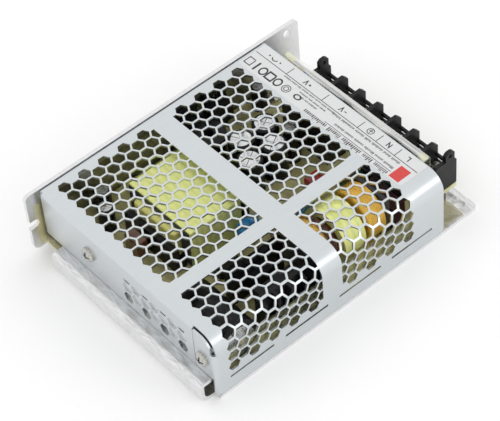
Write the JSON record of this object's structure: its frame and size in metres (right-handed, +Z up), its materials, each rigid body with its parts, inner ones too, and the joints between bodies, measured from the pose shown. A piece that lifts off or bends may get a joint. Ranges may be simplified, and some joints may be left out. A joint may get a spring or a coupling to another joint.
{
  "type": "enclosed switching power supply",
  "caption": "Slim enclosed switching power supply: folded aluminium chassis, perforated steel cover with a large near bend, and an open screw-terminal strip at one end.",
  "frame": {"origin": "centre of the outer box, on the underside of the base", "axes": "+X towards the terminal end, +Y towards the tall chassis wall, +Z up"},
  "size_m": [0.129, 0.097, 0.0301],
  "materials": {
    "bright_aluminium": "bright mill finish",
    "zinc_steel": "satin zinc-coated sheet",
    "nickel": "nickel plate",
    "tinned_plate": "tin plate",
    "film": "translucent film",
    "board": "bare laminate",
    "black_moulding": "fine moulded",
    "clear_strip": "clear",
    "blue_moulding": "moulded",
    "white_moulding": "moulded",
    "lamp_green": "diffused lens",
    "label": "coated label",
    "ferrite": "ground",
    "lime_tape": "polyester tape",
    "winding_tape": "polyester tape",
    "enamelled_copper": "enamelled wire",
    "black_sleeve": "shrunk sleeve",
    "blue_coating": "dipped",
    "brown_coating": "dipped",
    "red_coating": "dipped",
    "dark_box": "moulded",
    "green_coating": "dipped",
    "black_sink": "black anodised",
    "tan_coating": "lacquered"
  },
  "bodies": {
    "case": {"chassis": "bright_aluminium", "cover": "zinc_steel", "cover_screws": "nickel", "insulation_sheet": "film", "pcb": "board", "pcb_screws": "nickel", "terminal_block": "black_moulding", "terminal_contacts": "tinned_plate", "terminal_shield": "clear_strip", "trimmer_body": "blue_moulding", "status_led": "lamp_green", "rating_label": "label", "transformer_core": "ferrite", "transformer_tape": "lime_tape", "transformer_winding": "winding_tape", "transformer_bobbin": "black_moulding", "choke_core": "ferrite", "choke_tape": "lime_tape", "choke_windings": "enamelled_copper", "bulk_capacitor": "black_sleeve", "output_capacitors": "black_sleeve", "small_capacitors": "black_sleeve", "safety_capacitors": "blue_coating", "snubber_capacitor": "brown_coating", "film_capacitor": "red_coating", "mains_capacitor": "dark_box", "fuse": "black_sleeve", "thermistor": "green_coating", "bridge_rectifier": "black_moulding", "primary_heat_sink": "black_sink", "primary_transistor": "black_moulding", "output_heat_sink": "black_sink", "output_diodes": "black_moulding", "output_inductor": "black_sleeve", "controller_ic": "black_moulding", "resistors": "tan_coating"},
    "trimmer_rotor_body": {"trimmer_rotor": "white_moulding"},
    "clamp_1_body": {"terminal_clamp_1": "tinned_plate"},
    "screw_1_body": {"terminal_screw_1": "nickel"},
    "clamp_2_body": {"terminal_clamp_2": "tinned_plate"},
    "screw_2_body": {"terminal_screw_2": "nickel"},
    "clamp_3_body": {"terminal_clamp_3": "tinned_plate"},
    "screw_3_body": {"terminal_screw_3": "nickel"},
    "clamp_4_body": {"terminal_clamp_4": "tinned_plate"},
    "screw_4_body": {"terminal_screw_4": "nickel"},
    "clamp_5_body": {"terminal_clamp_5": "tinned_plate"},
    "screw_5_body": {"terminal_screw_5": "nickel"},
    "clamp_6_body": {"terminal_clamp_6": "tinned_plate"},
    "screw_6_body": {"terminal_screw_6": "nickel"},
    "clamp_7_body": {"terminal_clamp_7": "tinned_plate"},
    "screw_7_body": {"terminal_screw_7": "nickel"}
  },
  "joints": [
    {"name": "trimmer_turn", "type": "hinge", "parent": "case", "child": "trimmer_rotor_body", "pos_m": [0.057, 0.0358, 0.0112], "axis": [0, 0, 1], "range_deg": [-130, 130]},
    {"name": "clamp_1_lift", "type": "slide", "parent": "case", "child": "clamp_1_body", "axis": [0, 0, 1], "range_m": [0, 0.0025]},
    {"name": "screw_1_turn", "type": "hinge", "parent": "clamp_1_body", "child": "screw_1_body", "pos_m": [0.0585, -0.03225, 0.012], "axis": [0, 0, 1], "range_deg": [0, 1500]},
    {"name": "clamp_2_lift", "type": "slide", "parent": "case", "child": "clamp_2_body", "axis": [0, 0, 1], "range_m": [0, 0.0025]},
    {"name": "screw_2_turn", "type": "hinge", "parent": "clamp_2_body", "child": "screw_2_body", "pos_m": [0.0585, -0.02275, 0.012], "axis": [0, 0, 1], "range_deg": [0, 1500]},
    {"name": "clamp_3_lift", "type": "slide", "parent": "case", "child": "clamp_3_body", "axis": [0, 0, 1], "range_m": [0, 0.0025]},
    {"name": "screw_3_turn", "type": "hinge", "parent": "clamp_3_body", "child": "screw_3_body", "pos_m": [0.0585, -0.01325, 0.012], "axis": [0, 0, 1], "range_deg": [0, 1500]},
    {"name": "clamp_4_lift", "type": "slide", "parent": "case", "child": "clamp_4_body", "axis": [0, 0, 1], "range_m": [0, 0.0025]},
    {"name": "screw_4_turn", "type": "hinge", "parent": "clamp_4_body", "child": "screw_4_body", "pos_m": [0.0585, -0.00375, 0.012], "axis": [0, 0, 1], "range_deg": [0, 1500]},
    {"name": "clamp_5_lift", "type": "slide", "parent": "case", "child": "clamp_5_body", "axis": [0, 0, 1], "range_m": [0, 0.0025]},
    {"name": "screw_5_turn", "type": "hinge", "parent": "clamp_5_body", "child": "screw_5_body", "pos_m": [0.0585, 0.00575, 0.012], "axis": [0, 0, 1], "range_deg": [0, 1500]},
    {"name": "clamp_6_lift", "type": "slide", "parent": "case", "child": "clamp_6_body", "axis": [0, 0, 1], "range_m": [0, 0.0025]},
    {"name": "screw_6_turn", "type": "hinge", "parent": "clamp_6_body", "child": "screw_6_body", "pos_m": [0.0585, 0.01525, 0.012], "axis": [0, 0, 1], "range_deg": [0, 1500]},
    {"name": "clamp_7_lift", "type": "slide", "parent": "case", "child": "clamp_7_body", "axis": [0, 0, 1], "range_m": [0, 0.0025]},
    {"name": "screw_7_turn", "type": "hinge", "parent": "clamp_7_body", "child": "screw_7_body", "pos_m": [0.0585, 0.02475, 0.012], "axis": [0, 0, 1], "range_deg": [0, 1500]}
  ],
  "couplings": [
    {"joint": "screw_1_turn", "follows": "clamp_1_lift", "rad_per_m": 10472},
    {"joint": "screw_2_turn", "follows": "clamp_2_lift", "rad_per_m": 10472},
    {"joint": "screw_3_turn", "follows": "clamp_3_lift", "rad_per_m": 10472},
    {"joint": "screw_4_turn", "follows": "clamp_4_lift", "rad_per_m": 10472},
    {"joint": "screw_5_turn", "follows": "clamp_5_lift", "rad_per_m": 10472},
    {"joint": "screw_6_turn", "follows": "clamp_6_lift", "rad_per_m": 10472},
    {"joint": "screw_7_turn", "follows": "clamp_7_lift", "rad_per_m": 10472}
  ]
}
